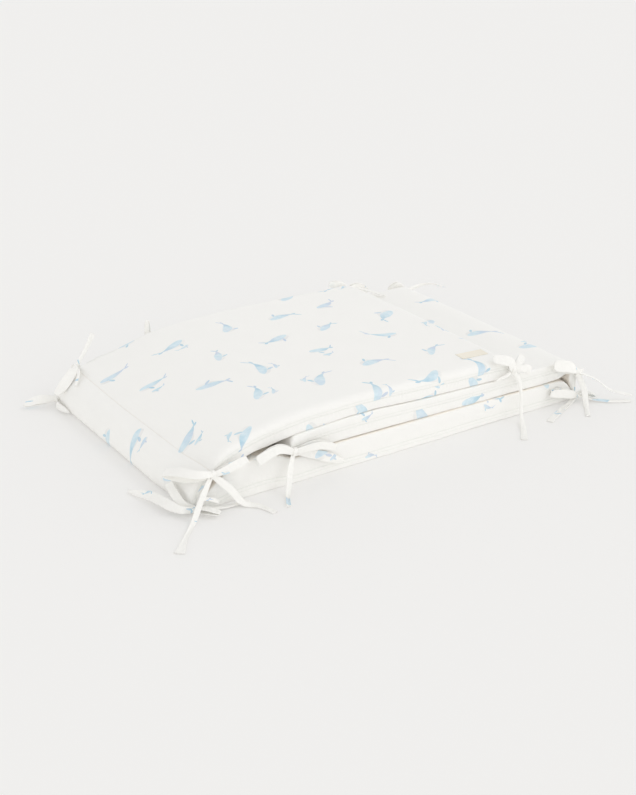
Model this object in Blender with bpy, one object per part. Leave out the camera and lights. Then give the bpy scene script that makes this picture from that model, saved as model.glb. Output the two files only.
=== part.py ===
"""A padded crib bumper, folded in three as it is stored.

The bumper is one long filled pad: a side section, a narrow corner section, the head section, another
corner section and the other side section, parted by four seams sewn through the wadding. It is folded at
those seams into a stack of three layers. A tie is sewn to each long edge at every seam and at both free
ends, and is tied in a bow. A small blank label is sewn flat near the free end of the top layer.

Frame: +X along the folded length, +Y across the bumper's height, +Z up, with the origin at the centre of
the underside. The tables measure in millimetres from the fold's left end, its front edge and the floor.
"""

import math

import bmesh
import bpy
import numpy as np

MM = 0.001

# Driving dimensions, in millimetres.
LENGTH = 600.0  # the folded stack, end to end
HEIGHT = 366.0  # the bumper's height, which lies along Y
OUTER_END = 476.0  # free end of the top layer
INNER_END = 140.0  # free end of the middle layer
EDGE_RADIUS = 15.0  # how far from a long edge the padding rounds off
FOOT_RADIUS = 5.0  # the same under the bottom layer, which the stack presses flat
END_RADIUS = 11.0  # and at the strip's two free ends
SEAM_SHARE = (0.5, 0.5, 0.68, 0.6, 0.5)  # each section's edge seam, from its inner face to its outer
BOTTOM_SPREAD = 2.5  # how far the bottom layer's edges stand out under the others
EDGE_POWER = 2.35  # 2 is a round edge, and more is a squarer one
DRAW_IN = 2.5  # how far the edge pulls in between two seams
DRAW_REACH = 34.0
CROWN = 2.5  # rise of the top layer's middle over its edges
CROWN_START = 40.0  # where it starts from the left, and the length over which it grows
BACK_SAG = 4.0  # the top layer sags more towards the back, just right of its seam
SAG_AT = 90.0
SAG_LENGTH = 110.0
CREASE_AT = 33.0  # the left seam hangs a little between its two ends
CREASE_FALL = 5.0
CREASE_LENGTH = 16.0
LEAST_END = 0.06  # what is left of the thickness at the very end of the strip
RIBBON_WIDTH = 8.5
RIBBON_THICK = 1.3
LOOP_OPENING = 7.0  # between a loop's two sides at its middle
LOOP_START = 0.4  # the share of that opening at the knot and the tip
STRAND_STEPS = 4  # points in each stretch of a strand
LOOP_SHARES = (0.07, 0.2, 0.35, 0.5, 0.65, 0.8, 0.93)  # where a loop's two sides have points
KNOT = (12.0, 8.6, 10.0)  # along the edge, out from it, and up
CLEARANCE = 0.4  # between pieces that touch
LABEL_THICK = 0.8
SHARP_ANGLE = 40.0  # edges bent more than this are shaded sharp, in degrees

# The fold's section, along the strip from the top layer's free end to the middle layer's. The outer face is
# the one that shows on the top and at both folds.
#   station       outer x     outer z    inner x     inner z
SECTION = (
    ("free_end", OUTER_END, 84.0, OUTER_END, 59.2),
    ("end_rise", OUTER_END - END_RADIUS, 84.5, OUTER_END - END_RADIUS, 59.2),
    ("top_right", 390, 86.4, 390, 59.7),
    ("top_middle", 310, 88.6, 310, 63.3),
    ("top_fullest", 270, 89.6, 270, 65.4),
    ("top_crest", 225, 90.0, 225, 65.1),
    ("over_end", 160, 88.5, 160, 62.5),
    ("top_slope", 113, 82.5, 118, 57.2),
    ("top_fall", 74, 74.0, 80, 50.5),
    ("top_turn", 47, 62.0, 55, 44.0),
    ("seam_a", 33, 47.5, 38.5, 42.0),
    ("left_high", 22.5, 44.0, 35.0, 36.0),
    ("left_face", 11.5, 35.5, 29.0, 30.0),
    ("left_low", 3.0, 23.0, 21.5, 22.5),
    ("left_foot", 0.0, 12.0, 15.0, 15.5),
    ("seam_b", 4.0, 4.0, 9.5, 9.0),
    ("foot_left", 13, 0.0, 18, 15.0),
    ("bottom_left", 32, 0.0, 36, 26.5),
    ("bottom_start", 60, 0.0, 56, 38.5),
    ("bottom_plump", 90, 0.0, 88, 44.5),
    ("bottom_pressed", 116, 0.0, 114, 44.0),
    ("bottom_144", 144, 0.0, 144, 32.2),
    ("bottom_200", 200, 0.0, 200, 34.9),
    ("bottom_300", 300, 0.0, 300, 34.2),
    ("bottom_430", 430, 0.0, 430, 33.2),
    ("bottom_end", 540, 0.0, 540, 31.4),
    ("bottom_right", 570, 0.0, 565, 27.5),
    ("foot_right", 588, 0.0, 581, 17.5),
    ("seam_f", 596.5, 4.0, 591, 9.0),
    ("right_low", 599.5, 13.0, 588, 18.0),
    ("right_face", LENGTH, 25.0, 585.5, 26.5),
    ("right_high", 598, 37.5, 585.0, 35.5),
    ("seam_e", 591.5, 48.5, 586.0, 43.5),
    ("middle_turn", 582, 56.0, 576, 39.0),
    ("middle_right", 562, 58.0, 563, 34.5),
    ("middle_start", 536, 58.0, 540, 33.0),
    ("middle_430", 430, 57.7, 430, 34.8),
    ("middle_390", 390, 58.4, 390, 35.0),
    ("middle_310", 310, 61.9, 310, 35.7),
    ("middle_270", 270, 64.0, 270, 36.0),
    ("middle_225", 225, 63.7, 225, 36.5),
    ("middle_170", 170, 61.8, 170, 35.2),
    ("end_fall", INNER_END + END_RADIUS, 60.4, INNER_END + END_RADIUS, 33.9),
    ("inner_end", INNER_END, 59.7, INNER_END, 33.7),
)
TOP_RUN, BOTTOM_RUN = 0, 2  # numbers of the sewn sections that are the top and the bottom layer
STEPS = 3  # rings in each row of the section
EDGE_ANGLES = (0, 14, 32, 55, 90)  # where the rounded edge has points, in degrees
END_ANGLE = 3  # the first of them on a free end, which keeps a narrow flat face
ACROSS = (0.3, 0.5, 0.7)  # and the flat of a face, as shares of the height
# How much lower the top layer's upper face is at its back edge, along X.
BACK_FALL = ((36, 0), (50, 6.5), (75, 7), (125, 8.2), (150, 8.6), (175, 7.2), (200, 5.4), (300, 3.6), (476, 2.2))
LABEL_ROW = {"x": 442.5, "y": 37.0, "length": 41.0, "width": 17.0, "turn": -3.0}

# The ties. Each row is a bow: where it is sewn on, how far its knot lies from the sewn point, and its
# strands. A strand has its kind, the way its broad face looks at the knot and at the tip, and the points
# its middle passes after the knot, each as x, the distance out from the long edge, and z.
OUT, UP, LEFT, RIGHT = (0, 1, 0), (0, 0, 1), (-1, 0, 0), (1, 0, 0)
LEFT_FRONT = (-0.75, 0.25, 0.6)
LEFT_BACK = (-0.75, -0.25, 0.6)
FRONT_UP = (-0.2, 0.75, 0.62)
FACING = (-0.5, 0.76, 0.41)
BACK_FACING = (-0.5, -0.72, 0.5)
BOWS = {
    "tie_a_front": ("seam_a", (-4, 0.5, 0), (
        ("loop", OUT, FRONT_UP, ((52, 9, 50), (76, 9, 55))),
        ("loop", FRONT_UP, (-0.4, 0.3, 0.86), ((12, 5, 49), (-7, -40, 39))),
        ("tail", OUT, UP, ((13, 15, 27), (-2, 22, 6), (-20, 39, 1.6), (-49, 72, 1.2))),
        ("tail", OUT, UP, ((50, 13, 25), (64, 17, 6), (79, 28, 1.6), (87, 51, 1.2))),
    )),
    "tie_b_front": ("seam_b", (1, 0.2, 1), (
        ("loop", UP, UP, ((18, 15, 8), (29, 25, 6))),
        ("loop", OUT, LEFT_FRONT, ((-8, -4, 16), (-9, -48, 31))),
        ("tail", OUT, FRONT_UP, ((-10, 3, 12), (-20, -48, 9.5), (-31, -87, 2.4))),
        ("tail", UP, UP, ((42, 9, 2.5), (76, 11, 1.2))),
        ("tail", OUT, FRONT_UP, ((17, 8, 19), (29, 9, 16), (38, 9, 10))),
    )),
    "tie_c_front": ("inner_end", (2, 0, -2.3), (
        ("loop", OUT, FACING, ((117, 9, 55), (92, 10, 48))),
        ("loop", OUT, OUT, ((174, 7, 46), (200, 7, 36))),
        ("tail", OUT, UP, ((131, 14, 28), (123, 22, 6), (116, 32, 1.6), (107, 48, 1.2))),
        ("tail", OUT, OUT, ((172, 5, 33), (212, 5, 13))),
    )),
    "tie_d_front": ("free_end", (2, 0.4, 0), (
        ("loop", FRONT_UP, FRONT_UP, ((470, 5, 85), (449, -2, 91))),
        ("loop", OUT, FACING, ((495, 8, 71), (507, 6, 63))),
        ("loop", FRONT_UP, FRONT_UP, ((489, 4, 81), (496, 0, 86))),
        ("tail", OUT, UP, ((486, 10, 52), (485, 18, 10), (474, 35, 1.6), (452, 62, 1.2))),
        ("tail", OUT, OUT, ((466, 6, 66), (450, 5, 62))),
    )),
    "tie_e_front": ("seam_e", (3, 0.5, -2), (
        ("loop", FRONT_UP, FACING, ((571, 7, 54), (547, 8, 62))),
        ("loop", OUT, RIGHT, ((604, 0, 38), (607, -22, 26))),
        ("tail", UP, UP, ((611, 19, 33), (630, 31, 17), (657, 46, 7))),
        ("tail", FACING, UP, ((597, 15, 20), (592, 26, 3), (570, 54, 1.2))),
    )),
    "tie_f_front": ("seam_f", (0, 0, 1), (
        ("loop", OUT, OUT, ((570, 7, 17), (545, 7, 22))),
        ("loop", UP, UP, ((606, 10, 9), (617, 18, 6))),
        ("tail", UP, UP, ((575, 12, 2.5), (550, 22, 1.2), (516, 39, 1.2))),
        ("tail", UP, UP, ((622, 32, 1.6), (652, 50, 1.2))),
    )),
    "tie_a_back": ("seam_a", (-2, 0, 1), (
        ("loop", BACK_FACING, BACK_FACING, ((21, 10, 29), (8, 11, 15))),
        ("loop", OUT, OUT, ((47, 11, 38), (62, 13, 30))),
        ("tail", BACK_FACING, BACK_FACING, ((50, 9, 62), (66, 11, 86))),
        ("tail", LEFT_BACK, LEFT_BACK, ((20, -14, 52), (8, -40, 44))),
    )),
    "tie_b_back": ("seam_b", (-3, -0.7, 2), (
        ("loop", BACK_FACING, (-0.4, -0.45, 0.8), ((-18, 9, 9), (-38, 15, 4))),
        ("loop", UP, UP, ((14, 18, 8), (30, 30, 6))),
        ("tail", LEFT, LEFT_BACK, ((-7, -14, 7), (-6, -40, 5))),
        ("tail", UP, UP, ((36, 14, 2), (72, 24, 1.2))),
    )),
    "tie_c_back": ("inner_end", (2, 0, -2.3), (
        ("loop", BACK_FACING, (-0.8, -0.5, 0.3), ((146, 9, 66), (146, 8, 89))),
        ("loop", OUT, OUT, ((170, 8, 42), (192, 9, 32))),
        ("tail", OUT, UP, ((128, 16, 24), (120, 26, 3), (104, 46, 1.2))),
        ("tail", OUT, UP, ((166, 15, 22), (184, 24, 3), (204, 42, 1.2))),
    )),
    "tie_d_back": ("free_end", (2, -0.4, 0), (
        ("loop", OUT, OUT, ((467, 9, 79), (447, 9, 82))),
        ("loop", OUT, OUT, ((504, 11, 68), (520, 13, 56))),
        ("tail", UP, UP, ((499, -3, 69), (524, -28, 61))),
        ("tail", OUT, UP, ((482, 12, 44), (486, 20, 10), (496, 42, 1.2))),
    )),
    "tie_e_back": ("seam_e", (-3, -0.4, 2), (
        ("loop", OUT, OUT, ((574, 9, 57), (556, 8, 52))),
        ("loop", OUT, OUT, ((588, 15, 40), (576, 24, 28))),
        ("tail", OUT, UP, ((618, 14, 46), (650, 22, 41), (683, 28, 28))),
        ("tail", OUT, UP, ((612, 16, 26), (628, 26, 4), (640, 44, 1.2))),
    )),
    "tie_f_back": ("seam_f", (0, 0, 1), (
        ("loop", OUT, OUT, ((570, 7, 15), (546, 8, 18))),
        ("loop", UP, UP, ((604, 14, 8), (612, 26, 6))),
        ("tail", UP, UP, ((574, 16, 2.5), (540, 28, 1.2))),
        ("tail", UP, UP, ((588, 30, 2), (572, 58, 1.2))),
    )),
}


def material(name, colour, roughness):
    made = bpy.data.materials.new(name)
    made.use_nodes = True
    shader = made.node_tree.nodes["Principled BSDF"]
    shader.inputs["Base Color"].default_value = (*colour, 1)
    shader.inputs["Roughness"].default_value = roughness
    shader.inputs["Metallic"].default_value = 0
    return made


def smooth_curve(points, steps, first_steps=None, last_steps=None):
    """Points of a Catmull-Rom curve through the given ones, spaced by chord length.

    steps is the number of shares of each stretch. first_steps and last_steps give the shares of the first
    and the last stretch themselves, as numbers from 0 to 1.
    """
    points = np.asarray(points, float)
    before = 2 * points[0] - points[1]
    after = 2 * points[-1] - points[-2]
    knots = np.vstack([before, points, after])
    found = []
    last = len(points) - 2
    for i in range(last + 1):
        p0, p1, p2, p3 = knots[i : i + 4]
        length = np.linalg.norm(p2 - p1)
        slope1 = (p2 - p0) / (np.linalg.norm(p1 - p0) + length) * length
        slope2 = (p3 - p1) / (np.linalg.norm(p3 - p2) + length) * length
        shares = np.linspace(0, 1, steps + 1)
        if i == 0 and first_steps is not None:
            shares = np.asarray(first_steps)
        if i == last and last_steps is not None:
            shares = np.asarray(last_steps)
        for t in shares[:-1]:
            found.append(
                (2 * t**3 - 3 * t**2 + 1) * p1
                + (t**3 - 2 * t**2 + t) * slope1
                + (3 * t**2 - 2 * t**3) * p2
                + (t**3 - t**2) * slope2
            )
    found.append(points[-1])
    return np.array(found)


def edge_rounding(degrees):
    """How far in from an edge the surface is at this angle, and its thickness there, both from 0 to 1."""
    angle = math.radians(degrees)
    power = 2 / EDGE_POWER
    return 1 - max(math.cos(angle), 0) ** power, math.sin(angle) ** power


def pad_section():
    """The section's rings: outer points, inner points, and the number of the sewn section each belongs to."""
    angles = (END_ANGLE, *EDGE_ANGLES[1:])
    into, _ = zip(*(edge_rounding(angle) for angle in angles))
    runs = [[]]
    for name, *row in SECTION:
        runs[-1].append(row)
        if name.startswith("seam"):
            runs.append([row])
    rings, run_of = [], []
    for number, run in enumerate(runs):
        first = into if number == 0 else None
        last = [1 - share for share in reversed(into)] if number == len(runs) - 1 else None
        if last is not None:
            last = [0, *last[1:]]
        curve = smooth_curve(run, STEPS, first, last)
        kept = curve if number == 0 else curve[1:]
        rings.extend(kept)
        run_of.extend([number] * len(kept))
    rings = np.array(rings)
    return rings[:, :2], rings[:, 2:], np.array(run_of)


def smooth_step(x, low, high):
    t = min(max((x - low) / (high - low), 0), 1)
    return t * t * (3 - 2 * t)


def top_layer_rise(x, share, fullness):
    """The top layer's crown, less its sag towards the back. share is the place between its two long edges."""
    sag_window = math.cos(math.pi * min(max((x - SAG_AT) / SAG_LENGTH, -0.5), 0.5)) ** 2
    crown_window = min(max((x - CROWN_START) / CROWN_START, 0), 1)
    crown = CROWN * crown_window * fullness * (1 - (2 * share - 1) ** 4)
    back_fall = float(np.interp(x, *zip(*BACK_FALL))) * share**2 * fullness
    return crown - back_fall - BACK_SAG * share * sag_window


def crease_fall(x, z, share, upper):
    """How far the cloth near the left seam hangs down between the seam's two ends."""
    window = smooth_step(share, 0.02, 0.22) * (1 - 0.8 * smooth_step(share, 0.55, 1))
    window *= math.exp(-(((x - CREASE_AT) / CREASE_LENGTH) ** 2)) * smooth_step(z, 24, 38)
    return CREASE_FALL * window * (1 if upper else 0.4)


def pad_grid():
    """Points of the pad as an array [ring, place round the ring, xyz], and each ring's sewn section."""
    outer, inner, run_of = pad_section()
    middle = (outer + inner) / 2
    half = (outer - inner) / 2
    along = np.concatenate([[0], np.cumsum(np.linalg.norm(np.diff(middle, axis=0), axis=1))])
    total = along[-1]
    # The free ends round off as the long edges do.
    from_end = np.minimum(along, total - along) / END_RADIUS
    inside = np.clip(1 - from_end, 0, 1)
    end_factor = np.maximum((1 - inside**EDGE_POWER) ** (1 / EDGE_POWER), LEAST_END)
    # Each long edge stands out at the seams and the ends, and pulls in between them.
    marks = [0, total] + [along[i] for i in range(1, len(along)) if run_of[i] != run_of[i - 1]]
    nearest = np.min(np.abs(along[:, None] - np.array(marks)), axis=1)
    away = 1 - np.exp(-((nearest / DRAW_REACH) ** 2))
    grid = []
    for i in range(len(along)):
        bottom = run_of[i] == BOTTOM_RUN
        edge = away[i] * (DRAW_IN - (BOTTOM_SPREAD if bottom else 0))
        seam = inner[i] + (outer[i] - inner[i]) * SEAM_SHARE[run_of[i]]
        ring = []
        for upper, face in ((True, outer[i]), (False, inner[i])):
            radius = FOOT_RADIUS if bottom and upper else EDGE_RADIUS
            rise = [edge_rounding(angle) for angle in EDGE_ANGLES]
            places = [(edge + radius * into, thick) for into, thick in rise]
            places += [(edge + (HEIGHT - 2 * edge) * share, 1.0) for share in ACROSS]
            places += [(HEIGHT - y, thick) for y, thick in reversed(places[: len(rise)])]
            row = []
            for y, thick in places:
                x, z = seam + (face - seam) * thick * end_factor[i]
                if run_of[i] == TOP_RUN:
                    z += top_layer_rise(x, y / HEIGHT, thick * end_factor[i] if upper else 0)
                z -= crease_fall(x, z, y / HEIGHT, upper)
                row.append((x, y, max(z, 0.0)))
            ring += row if upper else row[-2:0:-1]
        grid.append(ring)
    return np.array(grid), run_of


def to_frame(points):
    """Table millimetres to the part's metres."""
    return (np.asarray(points, float) - (LENGTH / 2, HEIGHT / 2, 0)) * MM


def mesh_object(name, points, faces, finish):
    mesh = bpy.data.meshes.new(name)
    mesh.from_pydata([tuple(point) for point in to_frame(points)], [], faces)
    shape = bmesh.new()
    shape.from_mesh(mesh)
    bmesh.ops.recalc_face_normals(shape, faces=shape.faces)
    shape.to_mesh(mesh)
    shape.free()
    mesh.materials.append(finish)
    made = bpy.data.objects.new(name, mesh)
    bpy.context.scene.collection.objects.link(made)
    mesh.shade_smooth()
    mesh.set_sharp_from_angle(angle=math.radians(SHARP_ANGLE))
    return made


def tube_faces(rings, around, closed=False):
    """Quads that join each ring of points to the next, and a cap at both ends unless the tube is closed."""
    count = rings * around
    faces = []
    for i in range(rings if closed else rings - 1):
        for j in range(around):
            a = i * around + j
            b = i * around + (j + 1) % around
            faces.append((a, b, (b + around) % count, (a + around) % count))
    if not closed:
        faces.append(tuple(range(around - 1, -1, -1)))
        faces.append(tuple(range(count - around, count)))
    return faces


def build_pad(grid, finish):
    return mesh_object("bumper", grid.reshape(-1, 3), tube_faces(*grid.shape[:2]), finish)


def sewn_point(grid, station, side):
    """Where a tie is sewn on: the pad's edge at this station."""
    row = SECTION[[name for name, *_ in SECTION].index(station)]
    middle = (np.array(row[1:3]) + np.array(row[3:5])) / 2
    ring = int(np.argmin(np.linalg.norm(grid[:, 0][:, [0, 2]] - middle, axis=1)))
    return grid[ring, 0 if side == "front" else len(EDGE_ANGLES) * 2 + len(ACROSS) - 1]


def ribbon(path, broad, closed=False):
    """A flat strip along a path. broad is the way that its broad face looks, for each point of the path."""
    path = np.asarray(path, float)
    heading = np.gradient(path, axis=0)
    if closed:
        heading = np.roll(path, -1, axis=0) - np.roll(path, 1, axis=0)
    across = np.cross(heading, broad)
    across /= np.linalg.norm(across, axis=1)[:, None]
    normal = np.cross(across, heading)
    normal /= np.linalg.norm(normal, axis=1)[:, None]
    w, t = across * RIBBON_WIDTH / 2, normal * RIBBON_THICK / 2
    rings = np.stack([path + w + t, path - w + t, path - w - t, path + w - t], axis=1)
    low = rings[:, :, 2].min(axis=1)
    rings[:, :, 2] += np.maximum(CLEARANCE - low, 0)[:, None]
    return rings.reshape(-1, 3), tube_faces(len(path), 4, closed)


def strand(knot, side, kind, look_first, look_last, points):
    """A loop or a tail of a bow, from its knot along the given points."""
    outward = -1 if side == "front" else 1
    edge = 0 if side == "front" else HEIGHT
    look_first, look_last = (np.array(look) * (1, outward, 1) for look in (look_first, look_last))
    middle = smooth_curve([knot, *((x, edge + outward * out, z) for x, out, z in points)], STRAND_STEPS)
    share = np.concatenate([[0], np.cumsum(np.linalg.norm(np.diff(middle, axis=0), axis=1))])
    share /= share[-1]
    blend = (share**2 * (3 - 2 * share))[:, None]
    look = (1 - blend) * look_first + blend * look_last
    if kind == "tail":
        return ribbon(middle, look)
    heading = np.gradient(middle, axis=0)
    across = np.cross(heading, look)
    # A loop is a flat ring: out on one side of that line, and back on the other.
    out = np.array(LOOP_SHARES)
    shares = np.concatenate([[0], out, [1], out[::-1]])
    sides = np.concatenate([[0], np.ones(len(out)), [0], -np.ones(len(out))])
    opening = LOOP_OPENING / 2 * (LOOP_START + (1 - LOOP_START) * np.sin(math.pi * shares))
    normal = np.cross(across, heading)
    normal /= np.linalg.norm(normal, axis=1)[:, None]

    def at(values):
        return np.stack([np.interp(shares, share, values[:, k]) for k in range(3)], axis=1)

    path = at(middle) + at(normal) * (opening * sides)[:, None]
    round_trip = np.roll(path, -1, axis=0) - np.roll(path, 1, axis=0)
    return ribbon(path, np.cross(at(across), round_trip), closed=True)


def build_bow(name, grid, finish):
    station, shift, strands = BOWS[name]
    side = name.split("_")[-1]
    outward = -1 if side == "front" else 1
    knot = sewn_point(grid, station, side) + (0, outward * (KNOT[1] / 2 + CLEARANCE), 0) + shift
    ball = bmesh.new()
    bmesh.ops.create_icosphere(ball, subdivisions=2, radius=0.5)
    points = [knot + np.array(vertex.co) * KNOT for vertex in ball.verts]
    faces = [tuple(corner.index for corner in face.verts) for face in ball.faces]
    ball.free()
    bow = mesh_object(name, points, faces, finish)
    strips = []
    for number, row in enumerate(strands):
        strip = mesh_object(f"{name}_{number}", *strand(knot, side, *row), finish)
        joined = bow.modifiers.new("strip", "BOOLEAN")
        joined.operation = "UNION"
        joined.solver = "EXACT"
        joined.object = strip
        strips.append(strip)
    graph = bpy.context.evaluated_depsgraph_get()
    whole = bpy.data.meshes.new_from_object(bow.evaluated_get(graph))
    bow.modifiers.clear()
    bow.data = whole
    for strip in strips:
        bpy.data.objects.remove(strip)
    keep_outer_shell(whole)
    return bow


def keep_outer_shell(mesh):
    """Removes what a union leaves inside, such as a pocket between the strips in a knot."""
    shape = bmesh.new()
    shape.from_mesh(mesh)
    left = set(shape.faces)
    shells = []
    while left:
        shell, edge_of_it = set(), [left.pop()]
        while edge_of_it:
            face = edge_of_it.pop()
            shell.add(face)
            for edge in face.edges:
                for other in edge.link_faces:
                    if other in left:
                        left.remove(other)
                        edge_of_it.append(other)
        shells.append(shell)
    largest = max(shells, key=lambda shell: sum(face.calc_area() for face in shell))
    inner = [face for shell in shells if shell is not largest for face in shell]
    bmesh.ops.delete(shape, geom=inner, context="FACES")
    shape.to_mesh(mesh)
    shape.free()


def build_label(top_layer, finish):
    """A thin woven rectangle that follows the pad's top face."""
    turn = math.radians(LABEL_ROW["turn"])
    columns, rows = 6, 3
    points = []
    for level in (CLEARANCE, CLEARANCE + LABEL_THICK):
        for j in range(rows):
            for i in range(columns):
                u = (i / (columns - 1) - 0.5) * LABEL_ROW["length"]
                v = (j / (rows - 1) - 0.5) * LABEL_ROW["width"]
                x = LABEL_ROW["x"] + u * math.cos(turn) - v * math.sin(turn)
                y = LABEL_ROW["y"] + u * math.sin(turn) + v * math.cos(turn)
                points.append((x, y, surface_height(top_layer, x, y) + level))
    faces = []
    step = rows * columns
    for j in range(rows - 1):
        for i in range(columns - 1):
            a = j * columns + i
            quad = (a, a + columns, a + columns + 1, a + 1)
            faces.append(quad)
            faces.append(tuple(corner + step for corner in reversed(quad)))
    rim = list(range(columns))
    rim += [j * columns + columns - 1 for j in range(1, rows)]
    rim += [(rows - 1) * columns + i for i in range(columns - 2, -1, -1)]
    rim += [j * columns for j in range(rows - 2, 0, -1)]
    for a, b in zip(rim, rim[1:] + rim[:1]):
        faces.append((a, b, b + step, a + step))
    return mesh_object("label", points, faces, finish)


def surface_height(top_layer, x, y):
    """Height of the top layer's upper face over a point, between the grid's own points."""
    upper = top_layer[::-1, : len(EDGE_ANGLES) * 2 + len(ACROSS)]
    along = upper[:, :, 0].mean(axis=1)
    heights = [np.interp(y, ring[:, 1], ring[:, 2]) for ring in upper]
    return float(np.interp(x, along, heights))


def main():
    for old in list(bpy.data.objects):
        bpy.data.objects.remove(old)
    cotton = material("printed_cotton", (0.90, 0.89, 0.87), 0.9)
    tie_cotton = material("tie_cotton", (0.90, 0.88, 0.84), 0.9)
    woven = material("woven_label", (0.90, 0.84, 0.70), 0.75)
    grid, run_of = pad_grid()
    build_pad(grid, cotton)
    for name in BOWS:
        build_bow(name, grid, tie_cotton)
    build_label(grid[run_of == TOP_RUN], woven)


main()
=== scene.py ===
"""The folded crib bumper as cloth: the padded strip, its woven label and the twelve ties in bows."""

import math

import bmesh
import bpy
import numpy as np
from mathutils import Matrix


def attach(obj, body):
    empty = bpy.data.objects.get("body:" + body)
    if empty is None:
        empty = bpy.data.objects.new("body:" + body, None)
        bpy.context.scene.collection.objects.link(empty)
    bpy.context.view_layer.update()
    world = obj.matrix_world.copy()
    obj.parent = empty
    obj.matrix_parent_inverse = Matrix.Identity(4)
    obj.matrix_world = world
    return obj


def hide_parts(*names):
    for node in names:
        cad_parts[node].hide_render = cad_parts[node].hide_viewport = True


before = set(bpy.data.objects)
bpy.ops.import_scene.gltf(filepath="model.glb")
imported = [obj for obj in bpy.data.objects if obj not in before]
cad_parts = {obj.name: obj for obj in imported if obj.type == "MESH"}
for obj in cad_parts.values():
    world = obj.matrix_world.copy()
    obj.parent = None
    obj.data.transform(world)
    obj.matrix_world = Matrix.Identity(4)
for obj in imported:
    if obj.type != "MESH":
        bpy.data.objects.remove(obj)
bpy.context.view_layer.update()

# ---------------- sizes, in millimetres
MM = 0.001
LENGTH = 600.0
HEIGHT = 366.0
OUTER_END = 476.0  # where the top layer ends
INNER_END = 140.0  # where the middle layer ends
CLEARANCE = 0.4

# Four seams part the strip into five sewn sections: the top layer, the left corner, the bottom layer, the
# right corner and the middle layer. These rows have one value for each.
OUTER_RADII = (14.0, 14.0, 3.5, 14.0, 7.0)  # how far in from a long edge the outer face rounds off
INNER_RADII = (7.0, 11.0, 7.0, 11.0, 7.0)
OUTER_POWERS = (3.2, 4.2, 6.5, 4.2, 6.5)  # how square that edge is: 2 makes it round
INNER_POWERS = (6.5, 4.6, 6.5, 4.6, 6.5)
SEAM_SHARE = (0.5, 0.5, 0.68, 0.6, 0.5)  # where the edge's seam lies, from inner to outer face
SOFTNESS = (0.15, 1, 0, 1, 0.15)  # how much of the corners' lumps it has
TOP_RUN, BOTTOM_RUN = 0, 2  # numbers of the top and the bottom layer in these rows
SEAM_EASE = 14.0  # how far from a seam a value is eased into the next one

END_RADIUS = 11.0  # how far in from a free end the strip rounds off
END_POWER = 2.6
LEAST_END = 0.06  # share of the thickness that is left at the very end
DRAW_IN = 2.5  # how far the long edges are drawn in between the seams
DRAW_REACH = 34.0
BOTTOM_SPREAD = 2.5  # how much less of this the bottom layer has
CROWN = 2.5  # how far the top's middle stands above its long edges
CROWN_START = 40.0
BACK_SAG = 4.0  # how far the top layer sags at the back, near the left fold
SAG_AT = 90.0
SAG_LENGTH = 110.0
BACK_FALL = (
    (36, 0), (50, 11), (75, 13), (100, 12.5), (125, 12), (150, 10.5), (175, 9), (200, 7), (250, 5),
    (300, 3.8), (350, 2.8), (OUTER_END, 2.2),
)  # how much lower the top's upper face is at its back edge, along X
CREASE_AT = 33.0  # the left seam hangs a little between its two ends
CREASE_FALL = 5.0
CREASE_LENGTH = 16.0
CREASE_FRONT, CREASE_BACK = (0.02, 0.22), (0.55, 1)  # where it comes and fades, as shares of the height
CREASE_FADE = 0.8
CREASE_RISE = (24, 38)  # the heights between which it comes in
CREASE_INNER = 0.4  # how much of it the inner face has
HOLLOW = (577.5, 31.0, 13.0)  # the right fold's: its middle, and how far round it the cloth puffs
HOLLOW_PULL = 0.75
HOLLOW_STARTS = (4, 20)  # how far in from a long edge it comes in

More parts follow.
